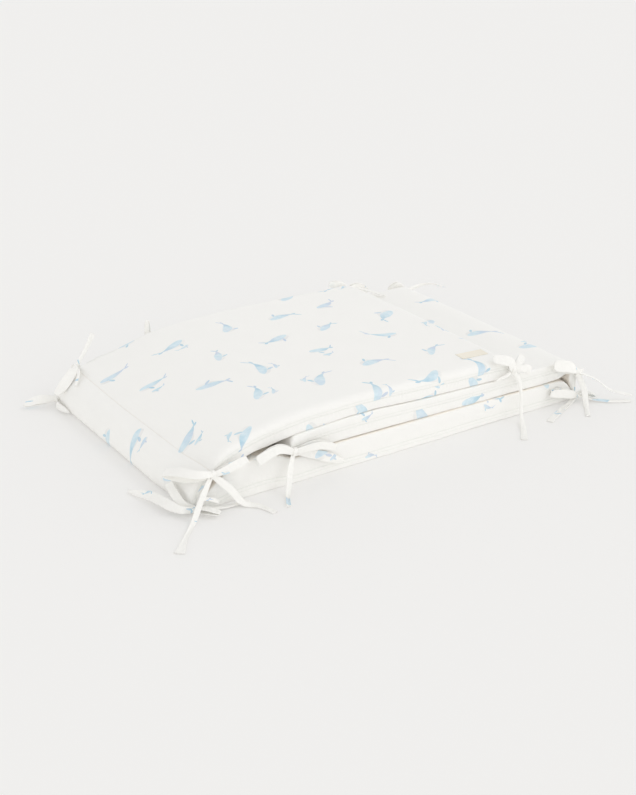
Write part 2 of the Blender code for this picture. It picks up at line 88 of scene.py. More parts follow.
# The fold's section, from the top layer's free end to the middle layer's. Rows named seam are sewn through.
#   station       outer x     outer z    inner x     inner z
SECTION = (
    ("free_end", OUTER_END, 84.0, OUTER_END, 58.9),
    ("end_rise", OUTER_END - END_RADIUS, 84.5, OUTER_END - END_RADIUS, 58.9),
    ("top_label", 430, 85.3, 430, 58.6),
    ("top_right", 390, 86.4, 390, 59.2),
    ("top", 350, 87.6, 350, 61.0),
    ("top", 310, 88.6, 310, 62.9),
    ("top", 275, 89.5, 275, 65.0),
    ("top_crest", 230, 90.0, 230, 64.8),
    ("top", 195, 89.6, 195, 63.9),
    ("over_end", 160, 88.5, 160, 62.2),
    ("top_slope", 113, 82.5, 118, 57.2),
    ("top_fall", 74, 74.0, 80, 50.8),
    ("top_turn", 47, 62.0, 55, 44.3),
    ("seam_a", 33, 47.5, 38.5, 42.0),
    ("left_high", 22.5, 44.0, 35.0, 36.0),
    ("left_face", 12.5, 35.5, 30.0, 30.0),
    ("left_low", 5.5, 23.0, 22.5, 22.5),
    ("left_foot", 4.3, 8.0, 17.5, 14.5),
    ("seam_b", 6.2, 2.0, 13.0, 8.5),
    ("foot_left", 11.5, 0.0, 20, 14.0),
    ("bottom_left", 34, 0.0, 36, 27.0),
    ("bottom_start", 62, 0.0, 56, 40.0),
    ("bottom_plump", 92, 0.0, 86, 46.0),
    ("bottom_pressed", 118, 0.0, 115, 45.2),
    ("bottom_turn", 131, 0.0, 130, 39.5),
    ("bottom", 144, 0.0, 144, 32.8),
    ("bottom", 170, 0.0, 170, 33.6),
    ("bottom", 200, 0.0, 200, 35.7),
    ("bottom", 240, 0.0, 240, 35.6),
    ("bottom", 300, 0.0, 300, 34.9),
    ("bottom", 350, 0.0, 350, 34.3),
    ("bottom", 430, 0.0, 430, 33.9),
    ("bottom", 500, 0.0, 500, 32.5),
    ("bottom_end", 545, 0.0, 545, 32.1),
    ("bottom_right", 570, 0.0, 570, 31.2),
    ("foot_right", 591.5, 0.0, 582, 23.5),
    ("seam_f", 597, 2.8, 591, 9.0),
    ("right_low", 599.5, 13.0, 587, 22.5),
    ("right_face", LENGTH, 25.0, 584, 31.0),
    ("right_high", 598, 37.5, 585.0, 36.0),
    ("seam_e", 591.5, 48.5, 584.5, 41.0),
    ("middle_turn", 582, 56.0, 576.0, 39.0),
    ("middle_right", 562, 58.3, 566, 34.6),
    ("middle_start", 536, 58.3, 545, 32.6),
    ("middle", 500, 58.3, 500, 33.1),
    ("middle", 430, 58.0, 430, 34.5),
    ("middle", 390, 58.6, 390, 34.7),
    ("middle", 350, 60.4, 350, 34.9),
    ("middle", 310, 62.3, 310, 35.4),
    ("middle", 275, 64.4, 275, 35.8),
    ("middle", 230, 64.2, 230, 36.2),
    ("middle", 195, 63.3, 195, 36.1),
    ("end_fall", INNER_END + END_RADIUS, 60.8, INNER_END + END_RADIUS, 33.6),
    ("inner_end", INNER_END, 60.0, INNER_END, 33.4),
)
DENSE_STEPS = 30  # points in each row of the section, before they are spaced evenly
RING_SPACING = 4.0
RING_CLOSEST = 1.0  # the spacing at the seams and the free ends
RING_REACH = 26.0  # how far from them it has grown to the full spacing
EDGE_ANGLES = (0, 1.2, 3.5, 7, 12, 18, 26, 35, 46, 58, 70, 80, 86, 90)  # a rounded edge's points
ACROSS = 56  # shares of the flat between the two rounded edges

# The cloth's unevenness: rows of a height, the size of its lumps, a seed, and both coordinates' factors.
FLAT_LUMPS = ((0.55, 95, 1, 1, 1), (0.22, 38, 2, 1, 1))
CORNER_LUMPS = ((0.9, 52, 7, 0.8, 1), (0.45, 24, 8, 1, 0.7))
EDGE_LUMPS = ((0.55, 17, 3, 1, 1), (0.3, 9, 4, 1, 1))
EDGE_REACH = 16.0
GATHERS = ((1, 11, 5, 1, 0.2), (0.6, 6.5, 6, 1, 0.2))
GATHER_HEIGHT = 0.75
GATHER_REACH, GATHER_GAP = 13.0, 2.2  # how far from a seam they end, and how near it they fade
GROOVE_DEPTH, GROOVE_WIDTH = 0.4, 1.8  # the seam along each long edge
INNER_SHIFT = 900.0  # gives the inner face other noise than the outer one
INNER_PRINT = (2.135, 0.771)  # and another part of the print, in metres

LABEL = {"x": 442.5, "y": 37.0, "length": 41.0, "width": 17.0, "turn": -3.0, "under": 0.25, "thick": 0.8}
LABEL_COLUMNS, LABEL_ROWS = 42, 18
LABEL_EDGE = (0.45, 0.5)  # how much thinner its edge is, and how far in
LABEL_STITCH = (0.3, 2.2, 0.7)  # the stitches' depth, their distance from a short end, and their width

# The ties: where each is sewn on, its knot's shift, and its strands. A strand has its kind, the way its
# broad face looks at the knot and at the tip, its points as x, distance out from the long edge and z, its
# widths from knot to tip and, for a loop, how far it stands open.
RIBBON_THICK = 0.9
RIBBON_SLOTS = (-1, -0.95, -0.78, -0.52, -0.26, 0, 0.26, 0.52, 0.78, 0.95, 1)  # places across a strip
RIBBON_RIM = (0.3, 0.8, 1, 1, 1, 1, 1, 1, 1, 0.8, 0.3)  # the share of its thickness there
RIBBON_CREASE = 0.42  # depth of its soft creases
CREASED_WIDTH = 8  # a narrower strip has shallower ones
RIBBON_HALF = 4.7  # for their noise
ROUTE_STEPS = 40  # points between two points of a strand's route
TAIL_STEP, TAIL_LEAST = 1.3, 12  # distance between a tail's rings, and their least number
LOOP_HALF = 36  # rings on each side of a loop
LOOP_START = 0.3  # share of its opening that a loop has at the knot
LOOP_TIP = 2.6  # length of its round tip
LOOP_LEAST = 1.2  # how far it stands open at least
FOLDED_UNDER = 9  # a narrower strip is folded along its length
KNOT = (9.6, 8.0, 8.6)
KNOT_TAKES = 45  # length of strip in a knot
KNOT_TURNS = ((5.6, 1.0), (4.2, 1.12))  # the turns round it: width, and how far out
TURN_POINTS = 28
OUT, UP, LEFT, RIGHT = (0, 1, 0), (0, 0, 1), (-1, 0, 0), (1, 0, 0)
LEFT_FRONT = (-0.75, 0.25, 0.6)
LEFT_BACK = (-0.75, -0.25, 0.6)
LEFT_UP = (-0.4, 0.3, 0.86)
LEFT_UP_BACK = (-0.4, -0.45, 0.8)
FRONT_UP = (-0.2, 0.75, 0.62)
FACING = (-0.5, 0.76, 0.41)
FACING_LESS = (-0.3, 0.87, 0.4)
BACK_FACING = (-0.5, -0.72, 0.5)
LEFT_FACING = (-0.8, -0.5, 0.3)
WIDE = (6.5, 9.6, 10.2, 9.8, 9.2)  # widths of a loop that the photo hides
TAIL = (5.5, 7.2, 7.6, 8.2, 8.8)
BOWS = {
    "tie_a_front": ("seam_a", (-4, 0.5, 0), (
        ("loop", OUT, FRONT_UP, ((52, 9, 50), (76, 9, 55)), (6.5, 9.5, 10.5, 10, 8), 5),
        ("loop", FRONT_UP, LEFT_UP, ((12, 5, 49), (-7, -40, 39)), (6.5, 10, 12, 12, 11), 12),
        ("tail", OUT, UP, ((13, 15, 27), (-2, 22, 6), (-20, 39, 1.6), (-49, 72, 1.2)),
         (7, 8, 7, 5, 6.5, 13)),
        ("tail", OUT, UP, ((50, 13, 25), (64, 17, 6), (79, 28, 1.6), (87, 51, 1.2)), (7, 9.5, 9.5, 8, 7)),
    )),
    "tie_b_front": ("seam_b", (1, 0.2, 1), (
        ("loop", UP, UP, ((18, 15, 8), (29, 25, 6)), (7, 10, 11.5, 11.5, 10.5), 5),
        ("loop", OUT, LEFT_FRONT, ((-4, -6, 15), (0, -50, 30)), (6.5, 9, 10, 10, 8.5), 5),
        ("tail", OUT, FRONT_UP, ((-10, 3, 12), (-20, -48, 9.5), (-31, -87, 2.4)), (7, 10, 12, 12, 9, 3.5)),
        ("tail", UP, UP, ((42, 9, 2.5), (76, 11, 1.2)), (6, 7, 6, 5)),
        ("tail", OUT, FRONT_UP, ((17, 8, 19), (29, 9, 16), (38, 9, 10)), (3.5, 5.5, 4.5, 5, 3.5)),
    )),
    "tie_c_front": ("inner_end", (2, 0, -2.3), (
        ("loop", OUT, FACING_LESS, ((117, 9, 56), (89, 10, 48)), (7, 10, 10.5, 11.5, 12.5), 6),
        ("loop", OUT, OUT, ((174, 7, 46), (200, 7, 36)), (7, 9, 10, 9.5, 8.5), 6),
        ("tail", OUT, UP, ((131, 14, 28), (123, 22, 6), (116, 32, 1.6), (107, 48, 1.2)),
         (5.5, 7.5, 8, 5.5, 5, 5.5)),
        ("tail", OUT, OUT, ((172, 5, 33), (212, 5, 13)), (6, 9, 12, 13, 11, 5)),
    )),
    "tie_d_front": ("free_end", (2, 0.4, 0), (
        ("loop", FRONT_UP, FRONT_UP, ((470, 5, 84), (449, -2, 90)), (9, 14, 14, 13, 12), 2.5),
        ("loop", OUT, FACING, ((495, 8, 71), (507, 6, 63)), (6.5, 9, 11, 11, 9), 5),
        ("loop", FRONT_UP, FRONT_UP, ((489, 4, 81), (496, 0, 86)), (5.5, 8.5, 10, 8.5), 4),
        ("tail", OUT, UP, ((486, 10, 52), (485, 18, 10), (474, 35, 1.6), (452, 62, 1.2)),
         (7, 5.5, 4.4, 5.5, 8, 9)),
        ("tail", OUT, OUT, ((466, 6, 66), (450, 5, 62)), (4, 4.5, 4, 2.5)),
    )),
    "tie_e_front": ("seam_e", (3, 0.5, -2), (
        ("loop", FRONT_UP, FACING, ((571, 7, 54), (547, 8, 62)), (8, 13.5, 16.5, 16.5, 13), 8),
        ("loop", OUT, RIGHT, ((604, 0, 38), (607, -22, 26)), (6.5, 8.5, 9, 8), 5),
        ("tail", UP, UP, ((611, 19, 33), (630, 31, 17), (657, 46, 7)), (6, 8, 8, 7.5, 6)),
        ("tail", FACING, UP, ((597, 15, 20), (592, 26, 3), (570, 54, 1.2)), (7, 8.5, 8, 6, 6.5)),
    )),
    "tie_f_front": ("seam_f", (0, 0, 1), (
        ("loop", OUT, OUT, ((570, 7, 17), (545, 7, 22)), (7, 11, 12, 12, 10), 8),
        ("loop", UP, UP, ((606, 10, 9), (617, 18, 6)), (7, 9, 10, 10, 9), 6),
        ("tail", UP, UP, ((575, 12, 2.5), (550, 22, 1.2), (516, 39, 1.2)), (6, 8, 9, 9.5)),
        ("tail", UP, UP, ((622, 32, 1.6), (652, 50, 1.2)), (6, 7, 6, 5)),
    )),
    "tie_a_back": ("seam_a", (-2, 0, 1), (
        ("loop", BACK_FACING, BACK_FACING, ((24, -13, 50.5), (9, -21, 40), (-5, -17, 24)),
         (6, 10, 13.5, 13.5, 7), 3),
        ("loop", OUT, OUT, ((47, 11, 38), (62, 13, 30)), (6, 8.5, 9, 8), 5),
        ("tail", BACK_FACING, BACK_FACING, ((50, 9, 62), (66, 11, 86)), (5, 5.5, 6, 7)),
        ("tail", LEFT_BACK, LEFT_BACK, ((27, -22, 50), (13, -43, 41)), (5, 6, 5, 3)),
    )),
    "tie_b_back": ("seam_b", (-5, -0.7, 3), (
        ("loop", BACK_FACING, LEFT_UP_BACK, ((-20, 9, 10), (-40, 12, 5.5)), (5.5, 9.5, 13, 11.5, 3.5), 3),
        ("loop", UP, UP, ((14, 18, 8), (30, 30, 6)), WIDE, 6),
        ("tail", LEFT, LEFT_BACK, ((-3, -15, 7.5), (1, -41, 5.5)), (6, 8.5, 7.5, 3)),
        ("tail", UP, UP, ((36, 14, 2), (72, 24, 1.2)), TAIL),
    )),
    "tie_c_back": ("inner_end", (2, 0, -2.3), (
        ("loop", BACK_FACING, LEFT_FACING, ((146, 9, 66), (146, 8, 89)), (5, 7, 7.5, 7, 6), 5),
        ("loop", OUT, OUT, ((170, 8, 42), (192, 9, 32)), WIDE, 6),
        ("tail", OUT, UP, ((128, 16, 24), (120, 26, 3), (104, 46, 1.2)), TAIL),
        ("tail", OUT, UP, ((166, 15, 22), (184, 24, 3), (204, 42, 1.2)), TAIL),
    )),
    "tie_d_back": ("free_end", (2, -0.4, 0), (
        ("loop", OUT, OUT, ((467, 9, 79), (447, 9, 82)), (6, 8, 9, 9, 8), 6),
        ("loop", OUT, OUT, ((504, 11, 68), (520, 13, 56)), WIDE, 6),
        ("tail", UP, UP, ((499, -3, 69), (524, -28, 61)), (6, 8, 7, 5)),
        ("tail", OUT, UP, ((482, 12, 44), (486, 20, 10), (496, 42, 1.2)), TAIL),
    )),
    "tie_e_back": ("seam_e", (-3, -0.4, 2), (
        ("loop", OUT, OUT, ((574, 9, 57), (556, 8, 52)), (6.5, 8.5, 9.5, 9.5, 8.5), 6),
        ("loop", OUT, OUT, ((588, 15, 40), (576, 24, 28)), WIDE, 6),
        ("tail", OUT, UP, ((618, 14, 46), (650, 22, 41), (683, 28, 28)), (5, 7, 8.5, 9, 8)),
        ("tail", OUT, UP, ((612, 16, 26), (628, 26, 4), (640, 44, 1.2)), TAIL),
    )),
    "tie_f_back": ("seam_f", (0, 0, 1), (
        ("loop", OUT, OUT, ((570, 7, 15), (546, 8, 18)), WIDE, 6),
        ("loop", UP, UP, ((604, 14, 8), (612, 26, 6)), WIDE, 6),
        ("tail", UP, UP, ((574, 16, 2.5), (540, 28, 1.2)), TAIL),
        ("tail", UP, UP, ((588, 30, 2), (572, 58, 1.2)), TAIL),
    )),
}

# ---------------- shapes


def smooth_curve(points, steps):
    """Points of a Catmull-Rom curve through the given ones, spaced by chord length."""
    points = np.asarray(points, float)
    knots = np.vstack([2 * points[0] - points[1], points, 2 * points[-1] - points[-2]])
    found = []
    for i in range(len(points) - 1):
        p0, p1, p2, p3 = knots[i : i + 4]
        length = np.linalg.norm(p2 - p1)
        slope1 = (p2 - p0) / (np.linalg.norm(p1 - p0) + length) * length
        slope2 = (p3 - p1) / (np.linalg.norm(p3 - p2) + length) * length
        t = np.linspace(0, 1, steps, endpoint=False)[:, None]
        found.append(
            (2 * t**3 - 3 * t**2 + 1) * p1
            + (t**3 - 2 * t**2 + t) * slope1
            + (3 * t**2 - 2 * t**3) * p2
            + (t**3 - t**2) * slope2
        )
    return np.vstack([*found, points[-1:]])


def smooth_step(x, low, high):
    """From 0 at low to 1 at high, smoothly."""
    t = np.clip((x - low) / (high - low), 0, 1)
    return t * t * (3 - 2 * t)


def lengths(points):
    """Distance along a line of points, from its first one."""
    return np.concatenate([[0], np.cumsum(np.linalg.norm(np.diff(points, axis=0), axis=1))])


def noise(u, v, size, seed):
    """Smooth random heights from -1 to 1 over a surface, in lumps of this size."""
    cells = 128
    grid = np.random.default_rng(seed).uniform(-1, 1, (cells, cells))
    x, y = np.asarray(u) / size + 50.3, np.asarray(v) / size + 50.7
    i, j = np.floor(x).astype(int), np.floor(y).astype(int)
    f, g = x - i, y - j
    f, g = f * f * (3 - 2 * f), g * g * (3 - 2 * g)
    i, j = i % cells, j % cells
    i1, j1 = (i + 1) % cells, (j + 1) % cells
    low = grid[i, j] * (1 - f) + grid[i1, j] * f
    high = grid[i, j1] * (1 - f) + grid[i1, j1] * f
    return low * (1 - g) + high * g


def lumps(u, v, rows):
    """Some layers of noise in one."""
    return sum(
        height * noise(u * factor_u, v * factor_v, size, seed)
        for height, size, seed, factor_u, factor_v in rows
    )


def strip_rings():
    """The strip's rings: how far along it they lie, their outer and inner points, and where the seams lie.

    The seams' row starts and ends with the free ends. Rings lie closer together near them all.
    """
    runs = [[]]
    for name, *row in SECTION:
        runs[-1].append(row)
        if name.startswith("seam"):
            runs.append([row])
    line, starts = [], []
    for run in runs:
        starts.append(len(line))
        line.extend(smooth_curve(run, DENSE_STEPS)[bool(line) :])
    line = np.array(line)
    along = lengths((line[:, :2] + line[:, 2:]) / 2)
    bounds = np.array([*along[starts], along[-1]])
    places = [0.0]
    while places[-1] < along[-1]:
        away = np.min(np.abs(places[-1] - bounds))
        places.append(places[-1] + RING_CLOSEST + (RING_SPACING - RING_CLOSEST) * min(away / RING_REACH, 1))
    places = np.array(places) * along[-1] / places[-1]
    rings = np.stack([np.interp(places, along, line[:, k]) for k in range(4)], axis=1)
    return places, rings[:, :2], rings[:, 2:], bounds


def edge_profile(powers):
    """Distances in from the edge, for a radius of 1, and the thickness there, for each ring."""
    angles = np.radians(EDGE_ANGLES)[None, :]
    power = 2 / powers[:, None]
    return 1 - np.maximum(np.cos(angles), 0) ** power, np.sin(angles) ** power


def eased(places, bounds, values):
    """One value for each sewn section, eased into the next one over each seam."""
    found = np.full(len(places), float(values[0]))
    for seam, before, after in zip(bounds[1:-1], values, values[1:]):
        found += (after - before) * smooth_step(places, seam - SEAM_EASE, seam + SEAM_EASE)
    return found


def top_rise(x, share, full, upper):
    """How far a face of the top layer lies over the plain section: crown, sag and a lower back edge."""
    sag_window = np.cos(math.pi * np.clip((x - SAG_AT) / SAG_LENGTH, -0.5, 0.5)) ** 2
    rise = -BACK_SAG * share * sag_window
    if upper:
        window = np.clip((x - CROWN_START) / CROWN_START, 0, 1)
        rise = rise + CROWN * window * full * (1 - (2 * share - 1) ** 4)
        fall = smooth_curve(BACK_FALL, 10)
        rise = rise - np.interp(x, fall[:, 0], fall[:, 1]) * share**2 * full
    return rise


def seam_fall(x, z, share):
    """How far the left seam hangs between its two ends."""
    window = smooth_step(share, *CREASE_FRONT) * (1 - CREASE_FADE * smooth_step(share, *CREASE_BACK))
    window = window * np.exp(-(((x - CREASE_AT) / CREASE_LENGTH) ** 2)) * smooth_step(z, *CREASE_RISE)
    return CREASE_FALL * window


def puffed(x, y, z):
    """Points of the inner face, drawn into the right fold's hollow behind its two open ends."""
    hollow_x, hollow_z, reach = HOLLOW
    pull = HOLLOW_PULL * np.exp(-(((x - hollow_x) ** 2 + (z - hollow_z) ** 2) / reach**2))
    pull = pull * smooth_step(np.minimum(y, HEIGHT - y), *HOLLOW_STARTS)
    return x + (hollow_x - x) * pull, z + (hollow_z - z) * pull


def pad_surface():
    """The padded strip's rings and seams, its points [ring, place], and lengths across both of its faces.

    Places go round a ring: the outer face from the front edge to the back edge, then the inner face back.
    """
    places, outer, inner, bounds = strip_rings()
    run_of = np.searchsorted(bounds[1:-1], places)
    from_end = np.minimum(places, places[-1] - places) / END_RADIUS
    end_factor = np.maximum((1 - np.clip(1 - from_end, 0, 1) ** END_POWER) ** (1 / END_POWER), LEAST_END)
    nearest = np.min(np.abs(places[:, None] - bounds), axis=1)
    away = 1 - np.exp(-((nearest / DRAW_REACH) ** 2))
    spread = eased(places, bounds, [BOTTOM_SPREAD * (run == BOTTOM_RUN) for run in range(len(SEAM_SHARE))])
    edge = away * (DRAW_IN - spread)
    seam = inner + (outer - inner) * eased(places, bounds, SEAM_SHARE)[:, None]
    flat = np.linspace(0, 1, ACROSS + 1)[1:-1]
    sides = []
    for upper, face in ((True, outer), (False, inner)):
        into, thick = edge_profile(eased(places, bounds, OUTER_POWERS if upper else INNER_POWERS))
        radius = eased(places, bounds, OUTER_RADII if upper else INNER_RADII)
        front = edge[:, None] + radius[:, None] * into
        low, high = front[:, -1:], HEIGHT - front[:, -1:]
        y = np.hstack([front, low + (high - low) * flat, HEIGHT - front[:, ::-1]])
        full = np.hstack([thick, np.ones((len(places), len(flat))), thick[:, ::-1]]) * end_factor[:, None]
        x = seam[:, :1] + (face - seam)[:, :1] * full
        z = seam[:, 1:] + (face - seam)[:, 1:] * full
        share = y / HEIGHT
        z = np.where((run_of == TOP_RUN)[:, None], z + top_rise(x, share, full, upper), z)
        z = z - seam_fall(x, z, share) * (1 if upper else CREASE_INNER)
        if not upper:
            x, z = puffed(x, y, z)
        sides.append(np.stack([x, y, z], axis=2))
    points = np.concatenate([sides[0], sides[1][:, -2:0:-1]], axis=1)
    around = []
    for side in sides:
        step = np.linalg.norm(np.diff(side, axis=1), axis=2)
        around.append(np.concatenate([np.zeros((len(places), 1)), np.cumsum(step, axis=1)], axis=1))
    return places, bounds, points, around


def surface_normals(points):
    along = np.gradient(points, axis=0)
    around = np.roll(points, -1, axis=1) - np.roll(points, 1, axis=1)
    normal = np.cross(around, along)
    size = np.linalg.norm(normal, axis=2, keepdims=True)
    return normal / np.maximum(size, 1e-9)


def to_frame(points):
    """Table millimetres to the row frame's metres."""
    return (np.asarray(points, float) - (LENGTH / 2, HEIGHT / 2, 0)) * MM


def mesh_object(name, points, faces, uv):
    mesh = bpy.data.meshes.new(name)
    mesh.from_pydata([tuple(p) for p in points], [], faces)
    layer = mesh.uv_layers.new(name="fabric")
    layer.data.foreach_set("uv", np.asarray(uv, np.float32).reshape(-1))
    shape = bmesh.new()
    shape.from_mesh(mesh)
    bmesh.ops.recalc_face_normals(shape, faces=shape.faces)
    shape.to_mesh(mesh)
    shape.free()
    made = bpy.data.objects.new(name, mesh)
    bpy.context.scene.collection.objects.link(made)
    mesh.shade_smooth()
    return made


def add_values(made, name, values):
    """A number for each of the mesh's points, which its material reads."""
    layer = made.data.attributes.new(name, "FLOAT", "POINT")
    layer.data.foreach_set("value", np.asarray(values, np.float32).reshape(-1))


def cloth_height(along, v, soft, from_edge, from_seam):
    """How far the cloth stands out from its smooth form."""
    height = lumps(along, v, FLAT_LUMPS)
    # The narrow corner sections are softer than the flat layers.
    height += soft * lumps(along, v, CORNER_LUMPS)
    height += np.exp(-((from_edge / EDGE_REACH) ** 2)) * lumps(along, v, EDGE_LUMPS)
    # The cloth is gathered a little where it is sewn through.
    near_seam = np.exp(-((from_seam / GATHER_REACH) ** 2)) * (1 - np.exp(-((from_seam / GATHER_GAP) ** 2)))
    height += GATHER_HEIGHT * lumps(v, along, GATHERS) * near_seam
    height -= GROOVE_DEPTH * np.exp(-((from_edge / GROOVE_WIDTH) ** 2))
    return height


def pad_faces(places, around):
    """The strip's faces, with one over each free end, and their fabric coordinates."""
    rings, count = around[0].shape
    ring_size = 2 * count - 2
    v_outer, v_inner = ((side - side[:, -1:] / 2) * MM for side in around)
    u = places * MM
    faces, uv = [], []
    for i in range(rings - 1):
        for j in range(ring_size):
            k = (j + 1) % ring_size
            low, high = i * ring_size, (i + 1) * ring_size
            faces.append((low + j, low + k, high + k, high + j))
            if j < count - 1:
                for ring, place in ((i, j), (i, j + 1), (i + 1, j + 1), (i + 1, j)):
                    uv.append((u[ring], v_outer[ring, place]))
            else:
                # The inner face is another piece of the same cloth.
                a = 2 * (count - 1) - j
                b = a - 1
                for ring, place in ((i, a), (i, b), (i + 1, b), (i + 1, a)):
                    uv.append((u[ring] + INNER_PRINT[0], v_inner[ring, place] + INNER_PRINT[1]))
    for ring, order in ((0, range(ring_size - 1, -1, -1)), (rings - 1, range(ring_size))):
        faces.append(tuple(ring * ring_size + j for j in order))
        uv.extend([(u[ring], 0.0)] * ring_size)
    return faces, uv


def build_pad():
    places, bounds, points, around = pad_surface()
    ring_size = points.shape[1]
    count = around[0].shape[1]
    # Each point's distance from the long edge's seam, and its place along and across the cloth.
    arc = np.concatenate([around[0], around[1][:, -2:0:-1]], axis=1)
    whole = np.concatenate(
        [np.repeat(around[0][:, -1:], count, 1), np.repeat(around[1][:, -1:], count - 2, 1)], axis=1
    )
    from_edge = np.minimum(arc, whole - arc)
    along = np.repeat(places[:, None], ring_size, 1)
    from_seam = np.min(np.abs(along[:, :, None] - bounds[1:-1]), axis=2)
    is_inner = np.arange(ring_size)[None, :] >= count
    v = arc - whole / 2 + np.where(is_inner, INNER_SHIFT, 0.0)
    height = cloth_height(along, v, eased(places, bounds, SOFTNESS)[:, None], from_edge, from_seam)
    # How deep a point of the inner face lies between the layers, which is nowhere at the free ends.
    y = points[:, :, 1]
    inside = np.minimum(y - y[:, :1], y[:, count - 1 : count] - y)
    past_end = np.minimum(places, places[-1] - places) - END_RADIUS
    inside = np.clip(inside, 0, np.maximum(past_end, 0)[:, None])
    points = points + surface_normals(points) * height[:, :, None]
    points[:, :, 2] = np.maximum(points[:, :, 2], 0)
    pad = mesh_object("padded_strip", to_frame(points.reshape(-1, 3)), *pad_faces(places, around))
    add_values(pad, "from_edge", np.where(is_inner, -from_edge, from_edge) * MM)
    add_values(pad, "from_seam", from_seam * MM)
    # The material paints shade from this depth between the layers.
    add_values(pad, "inside", np.where(is_inner, inside, 0) * MM)
    return pad, points[:, :count], places, bounds


def sewn_point(station, side):
    """Where a tie is sewn on: the pad's edge at this station."""
    row = SECTION[[name for name, *_ in SECTION].index(station)]
    x, z = (np.array(row[1:3]) + np.array(row[3:5])) / 2
    return np.array([x, 0 if side == "front" else HEIGHT, z])


def ribbon_tube(path, broad, width, cup, thick, u_start, v_start, seed, closed=False):
    """A thin folded strip of cloth along a path, as points, faces and fabric coordinates.

    broad is the way its broad face looks, width and thick are its sizes at each point, and cup is how far
    its middle stands out over its sides.
    """
    heading = np.gradient(path, axis=0)
    if closed:
        heading = np.roll(path, -1, axis=0) - np.roll(path, 1, axis=0)
    across = np.cross(heading, broad)
    across /= np.linalg.norm(across, axis=1)[:, None]
    normal = np.cross(across, heading)
    normal /= np.linalg.norm(normal, axis=1)[:, None]
    slots, rim = np.array(RIBBON_SLOTS), np.array(RIBBON_RIM)
    places = np.concatenate([slots, slots[::-1]])
    level = np.concatenate([rim, -rim[::-1]])
    size = len(places)
    along = lengths(path)
    offset = cup[:, None] * (1 - places**2) + thick[:, None] / 2 * level
    # Soft creases, mostly along the strip. What is added to the places keeps the strands' noise apart.
    over = places[None, :] * RIBBON_HALF
    creases = noise(along[:, None] + 37 * seed, over + 90, 3.1, 21)
    creases = creases + 0.6 * noise(along[:, None] * 2.3 + 11 * seed, over + 40, 4.6, 22)
    creased = np.minimum(width / CREASED_WIDTH, 1)[:, None]
    offset = offset + RIBBON_CREASE * creases * (1 - places**4) * creased
    points = (
        path[:, None]
        + across[:, None] * (places[None, :, None] * width[:, None, None] / 2)
        + normal[:, None] * offset[:, :, None]
    )
    low = points[:, :, 2].min(axis=1)
    points[:, :, 2] += np.maximum(CLEARANCE - low, 0)[:, None]
    along = along * MM
    faces, uv = [], []
    rings = len(path)
    for i in range(rings if closed else rings - 1):
        k = (i + 1) % rings
        u0 = along[i]
        u1 = along[k] if k else along[i] + np.linalg.norm(path[0] - path[-1]) * MM
        for j in range(size):
            m = (j + 1) % size
            faces.append((i * size + j, i * size + m, k * size + m, k * size + j))
            side = 0 if j < len(slots) else 0.31
            v0, v1 = places[j] * width[i] / 2 * MM, places[m] * width[i] / 2 * MM
            uv += [(u_start + u, v_start + v + side) for u, v in ((u0, v0), (u0, v1), (u1, v1), (u1, v0))]
    if not closed:
        for i, order in ((0, range(size - 1, -1, -1)), (rings - 1, range(size))):
            faces.append(tuple(i * size + j for j in order))
            uv += [(u_start + along[i], v_start)] * size
    return points.reshape(-1, 3), faces, uv


